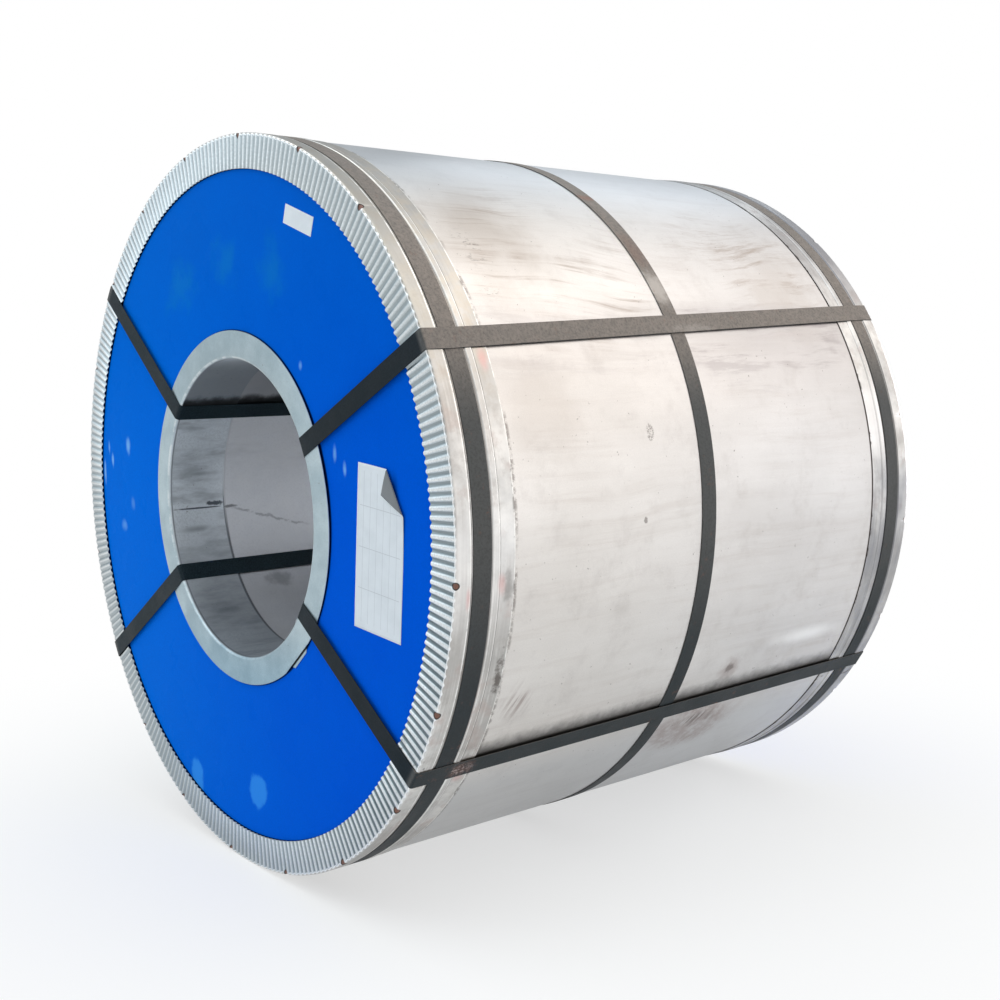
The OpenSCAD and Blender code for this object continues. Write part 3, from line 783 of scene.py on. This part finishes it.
def paper_finish(name, shade, ruled):
    """Blue-white paper with faint fibres, ruled with thin grey lines where it is printed."""
    f = Finish(name, specular_ior_level=0.3)
    fibres = f.cloud(700, 3, 0.6)
    clouds = f.cloud(30, 3, 0.6)
    pale = (0.8 * shade, 0.84 * shade, 0.87 * shade)
    dull = (0.75 * shade, 0.79 * shade, 0.82 * shade)
    f.color = f.mix(f.span(clouds, 0.35, 0.7), pale, dull)
    if ruled:
        u, v, _ = f.add(
            "ShaderNodeSeparateXYZ", {0: f.add("ShaderNodeUVMap", uv_map="sheet").outputs[0]}).outputs
        rows = f.math("PINGPONG", f.times(u, 7), 0.5)
        columns = f.math("PINGPONG", f.times(v, 4), 0.5)
        lines = f.most(f.fall(rows, 0, 0.035), f.fall(columns, 0, 0.012))
        inset = f.times(
            f.span(f.math("PINGPONG", u, 0.5), 0.06, 0.065), f.span(f.math("PINGPONG", v, 0.5), 0.04, 0.045))
        f.paint((0.2, 0.21, 0.23), lines, inset, 0.42)
    return f.done(f.span(fibres, 0.3, 0.7, 0.5, 0.6), fibres, strength=0.06, distance=0.0003)


WRAP = wrap_finish()
ZINC = ring_finish()
INNER_ZINC = inner_ring_finish()
BLUE = disc_finish()
STRAP = strap_finish()
STRIP = strip_finish()
PAPER = paper_finish("label_paper", 1.0, True)
TAG_PAPER = paper_finish("tag_paper", 1.0, False)
# The label's back: the same paper painted darker, as shade on the rolled corner
SHADED_PAPER_BACK = paper_finish("label_paper_back_shaded", 0.28, False)


# Wound strip and wrap

def make_steel_coil():
    turns = int((COIL_R - BORE_R) // TURN_PITCH) - 1
    face = [(BORE_R, HALF_STRIP)]
    for turn in range(1, turns + 1):
        line = BORE_R + turn * TURN_PITCH
        face += [
            (line - TURN_DEPTH, HALF_STRIP), (line, HALF_STRIP - TURN_DEPTH), (line + TURN_DEPTH, HALF_STRIP)]
    face.append((COIL_R, HALF_STRIP))
    section = face + [(radius, -out) for radius, out in reversed(face)]
    dressed("wound_strip", turned(section, 128), "steel_coil", "strip_steel", STRIP)


def make_wrap():
    rows = 72
    outside = [(WRAP_OUT, HALF_STRIP * (1 - 2 * i / rows)) for i in range(rows + 1)]
    bm = turned(outside + [(WRAP_IN, -HALF_STRIP), (WRAP_IN, HALF_STRIP)], 360)
    for vert in bm.verts:
        if radius_of(vert.co) < WRAP_OUT - 0.3:
            continue
        spot = Vector((vert.co.x * 2.4, vert.co.y * 3.2, (vert.co.z - AXIS.z) * 2.4))
        dip = 0.22 + 0.22 * noise.noise(spot) + 0.06 * noise.noise(spot * 3.1)
        set_radius(vert, WRAP_OUT - min(max(dip, 0.0), 0.5))
    dressed("wrap_sheet", bm, "outer_wrap_sheet", "wrap_sheet", WRAP)


# Edge rings

def flute_dip(radius, angle):
    """How far a flute's valley lies back from the crest's plane, and how deep in the valley that place is."""
    run = (radius - FLANGE_IN) / (RING_OUT - RIM_R - FLANGE_IN)
    depth = FLUTE_DEPTH + (FLUTE_END_DEPTH - FLUTE_DEPTH) * min(run, 1.0)
    if run > 1:
        depth *= max(0.0, 1.0 - (radius - (RING_OUT - RIM_R)) / RIM_R) ** 0.6
    valley = (0.5 + 0.5 * math.cos(FLUTES * angle)) ** 1.15
    return depth * valley, valley


def make_outer_ring(name, node, end):
    corner = (RING_OUT - RIM_R, RIM_OUT - RIM_R)
    front = [(radius, RIM_OUT) for radius in (FLANGE_IN, FLANGE_IN + 1.0, 566, 579, 594, 604, 608, 609.6, 611)]
    rim = arc(corner, RIM_R, (90, 67.5, 45, 22.5, 0))
    steps = [
        (RING_OUT, 516.6), (RING_OUT, 515), (RING_OUT, LAND_END), (SKIRT_OUT, CHANNEL_START),
        (SKIRT_OUT, CHANNEL_END), (RING_OUT, BEAD_START), (RING_OUT, BEAD_END), (SKIRT_OUT, BEAD_FOOT),
        (SKIRT_OUT, SKIRT_END + 0.3), (SKIRT_OUT - 0.25, SKIRT_END)]
    under = [
        (SKIRT_IN, SKIRT_END), (SKIRT_IN, CHANNEL_START - 1), (RING_OUT - RING_T, LAND_END + 1),
        (RING_OUT - RING_T, 518.6), (613.2, 520.4)]
    back = [(radius, RIM_OUT - RING_T) for radius in (611, 604, 590, 570, FLANGE_IN)]
    bm = turned(front + rim + steps + under + back, FLUTES * FLUTE_STEPS, end, NAIL_HOLES)
    valley_layer, wave_layer, fluted_layer, under_layer, nail_layer = [
        bm.verts.layers.float.new(layer) for layer in ("valley", "wave", "fluted", "under", "nail")]
    pitch = 2 * math.pi / NAIL_HOLES
    middle = (corner[0] + RIM_R * math.sqrt(0.5), corner[1] + RIM_R * math.sqrt(0.5))
    for vert in bm.verts:
        radius, angle, out = radius_of(vert.co), angle_of(vert.co), abs(vert.co.y) / MM
        # Underside vertices, which the ring's material paints in shade
        if radius < 611.5 and out < RIM_OUT - RING_T / 2:
            vert[under_layer] = 1.0
        if out > RIM_OUT - RIM_R and radius < RING_OUT - 0.02:
            dip, valley = flute_dip(radius, angle)
            vert.co.y += end * dip * MM
            vert[valley_layer] = valley * min(1.0, dip / 1.2)
            vert[wave_layer] = valley
            vert[fluted_layer] = 1.0
        count = (angle - FIRST_NAIL) / pitch
        if end > 0 and round(count) % NAIL_HOLES in SHUT_NAILS:
            continue
        across = (count - round(count)) * pitch
        along = ((radius - middle[0]) - (out - middle[1])) * math.sqrt(0.5)
        off = math.hypot(across * radius, along)
        if off < 10.0 and out > 511 and radius > 602:
            vert[nail_layer] = 1.0
            cup = NAIL_DEPTH * min(1.0, max(0.0, (NAIL_CUP - off) / 2.0)) ** 2
            set_radius(vert, radius_of(vert.co) - cup)
            vert.co.y += end * cup * MM
    dressed(name, bm, node, "zinc_ring", ZINC, sharp=30)


def make_inner_ring(name, node, end):
    corner = (EYE_R + INNER_BEND, RIM_OUT - INNER_BEND)
    bend = (90, 105, 120, 135, 150, 165, 180)
    section = [(INNER_FLANGE_R, RIM_OUT - 2.0), (INNER_FLANGE_R - 15, RIM_OUT - 1.2)]
    section += arc(corner, INNER_BEND, bend)
    section += [(EYE_R, 470), (EYE_R, INNER_SKIRT_END + 1), (EYE_R + 0.3, INNER_SKIRT_END)]
    section += [(EYE_R + RING_T, INNER_SKIRT_END)]
    section += arc(corner, INNER_BEND - RING_T, reversed(bend))
    section += [(INNER_FLANGE_R - 15, RIM_OUT - 2.0), (INNER_FLANGE_R, RIM_OUT - 2.8)]
    bm = turned(section, 256, end)
    for vert in bm.verts:
        radius, angle = radius_of(vert.co), angle_of(vert.co)
        if radius < corner[0] + 1:
            continue
        share = (radius - corner[0]) / (INNER_FLANGE_R - corner[0])
        if end > 0:
            # The front flange gapes a little on its right side
            gape = math.exp(-((math.degrees(angle) - 18) / 26) ** 2)
            vert.co.y -= 2.0 * share * gape * MM
            if abs(angle - CUT_AT) < CUT_HALF:
                set_radius(vert, min(radius, INNER_FLANGE_R * math.cos(CUT_HALF) / math.cos(angle - CUT_AT)))
    if end > 0:
        # Corners of the lap's other end, which shows under the cut
        tab = [(190, -160), (221, -190), (217, -212), (182, -243), (150, -240)]
        edge = [bm.verts.new((x * MM, -(DISC_OUT + 0.4) * MM, AXIS.z + z * MM)) for x, z in tab]
        plate = bmesh.ops.extrude_face_region(bm, geom=[bm.faces.new(edge)])["geom"]
        top = [item for item in plate if isinstance(item, bmesh.types.BMVert)]
        bmesh.ops.translate(bm, vec=(0, -RING_T * MM, 0), verts=top)
        bmesh.ops.recalc_face_normals(bm, faces=bm.faces)
    dressed(name, bm, node, "zinc_ring", INNER_ZINC, sharp=35)


# Straps

def make_belt(name, node, inside, out):
    half = STRAP_W / 2
    edge = STRAP_EDGE
    top = inside + STRAP_T
    section = [
        (inside + edge, out + half), (inside, out + half - edge),
        (inside, out - half + edge), (inside + edge, out - half),
        (top - edge, out - half), (top, out - half + edge), (top, out),
        (top, out + half - edge), (top - edge, out + half)]
    bm = turned(section, 288)
    for vert in bm.verts:
        angle = angle_of(vert.co)
        vert.co.y += (0.7 * math.sin(3 * angle + out) + 0.4 * math.sin(7 * angle)) * MM
    dressed(name, bm, node, "steel_strap", STRAP)


def stand_at(spot, across, normal, along):
    """Matrix that puts X, Y and Z along those three directions, with its origin on the spot."""
    return Matrix.Translation(spot) @ Matrix((across, normal, along)).transposed().to_4x4()


def station(spot, along, normal):
    """Matrix of one strap station: X across the strap, Y out of its outer face, Z along it."""
    along = along.normalized()
    normal = (normal - along * normal.dot(along)).normalized()
    return stand_at(spot, normal.cross(along), normal, along)


def strap_route(angle, turn):
    """Places on one eye strap with normals: along the outside, down the back, through the eye, up the front."""
    angle = math.radians(angle)
    far = angle + math.radians(turn)
    outside, face, eye = RING_OUT + LAY_GAP, RIM_OUT + LAY_GAP, EYE_R - 2 * LAY_GAP
    rim_bend, eye_bend = RIM_R + LAY_GAP, INNER_BEND
    run, eye_run = face - rim_bend, face - eye_bend
    over_rim, over_eye = outside - rim_bend, eye + eye_bend
    back, front = Vector((0, 1, 0)), Vector((0, -1, 0))
    places = []

    def bend(centre, radius, start, end):
        for i in range(1, 6):
            turned_by = math.radians(90 * i / 6)
            normal = start * math.cos(turned_by) + end * math.sin(turned_by)
            places.append((centre + normal * radius * MM, normal))

    def straight(start, end, normal):
        for i in range(9):
            places.append((start.lerp(end, i / 8), normal))

    for i in range(33):
        share = i / 32
        at = angle + (far - angle) * min(max((share - 0.02) / 0.96, 0), 1)
        places.append((place(outside, at, run * (1 - 2 * share)), ray(at)))
    bend(place(over_rim, far, -run), rim_bend, ray(far), back)
    straight(place(over_rim, far, -face), place(over_eye, angle, -face), back)
    bend(place(over_eye, angle, -eye_run), eye_bend, back, -ray(angle))
    straight(place(eye, angle, -eye_run), place(eye, angle, eye_run), -ray(angle))
    bend(place(over_eye, angle, eye_run), eye_bend, -ray(angle), front)
    straight(place(over_eye, angle, face), place(over_rim, angle, face), front)
    bend(place(over_rim, angle, run), rim_bend, front, ray(angle))
    return places


def make_eye_strap(name, node, angle, turn):
    places = strap_route(angle, turn)
    stations = []
    for i, (spot, normal) in enumerate(places):
        along = places[(i + 1) % len(places)][0] - places[i - 1][0]
        stations.append(station(spot, along, normal))
    dressed(name, swept(stations, STRAP_W / 2, STRAP_T), node, "steel_strap", STRAP)


# Labels

def on_disc(radius, angle, lean):
    """Matrix from a label's own plane, X across and Y up, to its place on the front disc."""
    spot = place(radius, math.radians(angle), DISC_OUT + 0.12)
    turn = math.radians(lean)
    up = Vector((-math.sin(turn), 0, math.cos(turn)))
    return stand_at(spot, ray(turn), up, Vector((0, -1, 0)))


def make_label(name, node, size, spot, paper, fold=None):
    """Paper sheet on the disc. A fold of (along the top, down the side) rolls its upper outer corner over."""
    bm = bmesh.new()
    bm.loops.layers.uv.new("sheet")
    bmesh.ops.create_grid(bm, x_segments=48, y_segments=72, size=0.5, calc_uvs=True)
    bmesh.ops.scale(bm, vec=(size[0], size[1], 1), verts=bm.verts)
    roll = 1.25
    corner = Vector((size[0] / 2, size[1] / 2, 0))
    for vert in bm.verts:
        lift = 0.0
        if fold:
            crease = Vector((fold[1], fold[0], 0)).normalized()
            past = (vert.co - corner).dot(crease) + fold[0] * crease.x
            lift = 2.4 * max(0.0, 1 + min(past, 0) / 45) ** 2
            if past > 0:
                turn = min(past / roll, math.pi * 0.94)
                rest = max(past - roll * turn, 0)
                lift += roll * (1 - math.cos(turn)) - 0.0012 * rest * rest
                vert.co += crease * (roll * math.sin(turn) + rest * math.cos(turn) - past)
        vert.co.z = 0.12 + max(lift, 0.0) + 0.12 * (1 + noise.noise(vert.co * 0.03))
    bmesh.ops.scale(bm, vec=(MM, MM, MM), verts=bm.verts)
    bmesh.ops.transform(bm, matrix=spot, verts=bm.verts)
    piece = dressed(name, bm, node, "label_paper", paper, SHADED_PAPER_BACK)
    wall = piece.modifiers.new("paper", "SOLIDIFY")
    wall.thickness = 0.2 * MM
    wall.offset = 0.0
    wall.material_offset = 1


make_steel_coil()
make_wrap()
for side, end in (("front", 1), ("back", -1)):
    make_outer_ring("outer_ring_" + side, "outer_edge_ring_" + side, end)
    make_inner_ring("inner_ring_" + side, "inner_edge_ring_" + side, end)
    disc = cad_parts["end_disc_" + side].data
    disc.materials.clear()
    disc.materials.append(BLUE)
for side, inside, out in (("front", SKIRT_OUT, 475), ("middle", WRAP_OUT, 18), ("back", SKIRT_OUT, -475)):
    make_belt(side + "_belt", "belt_strap_" + side, inside + LAY_GAP, out)
for corner, angle, turn in (
        ("upper_right", 26.3, 5.3), ("upper_left", 141.2, 0),
        ("lower_left", 212.1, 0), ("lower_right", 325.5, 1.8)):
    make_eye_strap(corner + "_strap", "eye_strap_" + corner, angle, turn)
make_label("paper_label", "coil_label", (120, 247), on_disc(429, -4, -5), PAPER, (44, 62))
make_label("paper_tag", "tag_label", (85, 30), on_disc(513, 63.4, -19.5), TAG_PAPER)


# Studio

def make_floor():
    bm = bmesh.new()
    bmesh.ops.create_grid(bm, x_segments=1, y_segments=1, size=60)
    mesh = bpy.data.meshes.new("floor")
    bm.to_mesh(mesh)
    bm.free()
    floor = bpy.data.objects.new("floor", mesh)
    scene.collection.objects.link(floor)
    material = bpy.data.materials.new("pale_floor")
    material.use_nodes = True
    build = Nodes(material.node_tree)
    build.tree.nodes.clear()
    seen = build.add("ShaderNodeLightPath").outputs
    mirrored = build.most(seen["Is Glossy Ray"], seen["Is Transmission Ray"])
    away = build.vector("LENGTH", build.here(), output="Value")
    to_eye = build.times(seen["Is Camera Ray"], build.span(away, 0.5, 1.7, 0.6, 1.0))
    to_metal = build.times(mirrored, build.span(away, 0.6, 2.1, 0.28, 0.96))
    matt = build.add("ShaderNodeBsdfDiffuse", {"Color": (0.82, 0.84, 0.85)}).outputs[0]
    glow = build.add("ShaderNodeEmission", {"Color": (1, 1, 1), "Strength": 1.0}).outputs[0]
    mixed = build.add("ShaderNodeMixShader", {0: build.most(to_eye, to_metal), 1: matt, 2: glow}).outputs[0]
    build.add("ShaderNodeOutputMaterial", {"Surface": mixed})
    mesh.materials.append(material)


def make_world():
    """White backdrop. Its light is warm and bright to the right, cool to the front, dim beyond the coil."""
    world = bpy.data.worlds.new("studio")
    scene.world = world
    world.use_nodes = True
    build = Nodes(world.node_tree)
    build.tree.nodes.clear()
    seen = build.add("ShaderNodeLightPath").outputs
    mirrored = build.most(seen["Is Glossy Ray"], seen["Is Transmission Ray"])
    way = build.add("ShaderNodeTexCoord").outputs["Generated"]
    right = build.vector("DOT_PRODUCT", way, (0.75, 0.55, 0.25), "Value")
    side = build.span(right, -0.75, 0.75)
    level = build.times(build.blend(side, 0.47, 0.97), build.blend(mirrored, 0.62, 1.0))
    beyond = build.vector("DOT_PRODUCT", way, (-0.8, 0.6, 0.1), "Value")
    level = build.times(level, build.span(beyond, 0.75, 0.98, 1.0, 0.40))
    above = build.vector("DOT_PRODUCT", way, (0.13, -0.18, 0.97), "Value")
    level = build.times(level, build.blend(mirrored, 1.0, build.span(above, 0.80, 0.96, 1.0, 0.3)))
    tint = build.mix(build.span(right, 0.05, 0.65), (0.88, 0.955, 1.0), (1.0, 0.965, 0.94))
    color = build.mix(seen["Is Camera Ray"], tint, (1, 1, 1))
    strength = build.blend(seen["Is Camera Ray"], level, 1.0)
    backdrop = build.add("ShaderNodeBackground", {"Color": color, "Strength": strength}).outputs[0]
    build.add("ShaderNodeOutputWorld", {"Surface": backdrop})


def add_lamp(name, spot, aim, size, watts, color):
    """Area lamp that faces a point over the origin, at the height given as its aim."""
    lamp = bpy.data.lights.new(name, "AREA")
    lamp.shape = "RECTANGLE"
    lamp.size, lamp.size_y = size
    lamp.energy = watts
    lamp.color = color
    thing = bpy.data.objects.new(name, lamp)
    thing.location = spot
    thing.rotation_euler = (Vector((0, 0, aim)) - Vector(spot)).to_track_quat("-Z", "Y").to_euler()
    thing.visible_camera = False
    scene.collection.objects.link(thing)


def make_camera():
    """Camera fitted to the photo's edges, for a square picture."""
    turn, rise, roll = math.radians(50.612), math.radians(6.034), math.radians(0.793)
    forward = Vector((-math.sin(turn) * math.cos(rise), math.cos(turn) * math.cos(rise), -math.sin(rise)))
    right = forward.cross(Vector((0, 0, 1))).normalized()
    down = forward.cross(right)
    spot = AXIS + right * 0.046256 + down * 0.026101 - forward * 2.509089
    leaned = right * math.cos(roll) + down * math.sin(roll)
    up = right * math.sin(roll) - down * math.cos(roll)
    camera = bpy.data.cameras.new("camera")
    camera.sensor_fit = "HORIZONTAL"
    camera.sensor_width = 36
    camera.lens = 1.290571 * 36
    thing = bpy.data.objects.new("camera", camera)
    thing.matrix_world = stand_at(spot, leaned, up, -forward)
    scene.collection.objects.link(thing)
    scene.camera = thing


make_floor()
make_world()
for lamp in (
        ("overhead", (0.6, -0.8, 4.5), 0.6, (7.0, 4.5), 108, (0.95, 0.98, 1.0)),
        ("top_strip", (-1.8, 3.0, 3.55), 1.2, (2.2, 0.35), 6, (0.93, 0.97, 1.0)),
        ("right_key", (3.2, 4.0, 4.8), 0.8, (5.0, 5.0), 48, (1.0, 0.94, 0.88)),
        ("low_fill", (4.0, 4.2, 1.0), 0.6, (5.0, 2.2), 12, (0.92, 0.96, 1.0)),
        ("front_fill", (-2.6, -3.4, 4.2), 0.6, (7.0, 7.0), 145, (0.88, 0.95, 1.0)),
        ("back_fill", (0.1, 4.6, 0.9), 0.6, (1.6, 1.6), 105, (0.94, 0.96, 1.0))):
    add_lamp(*lamp)
make_camera()
scene.view_settings.view_transform = "Standard"
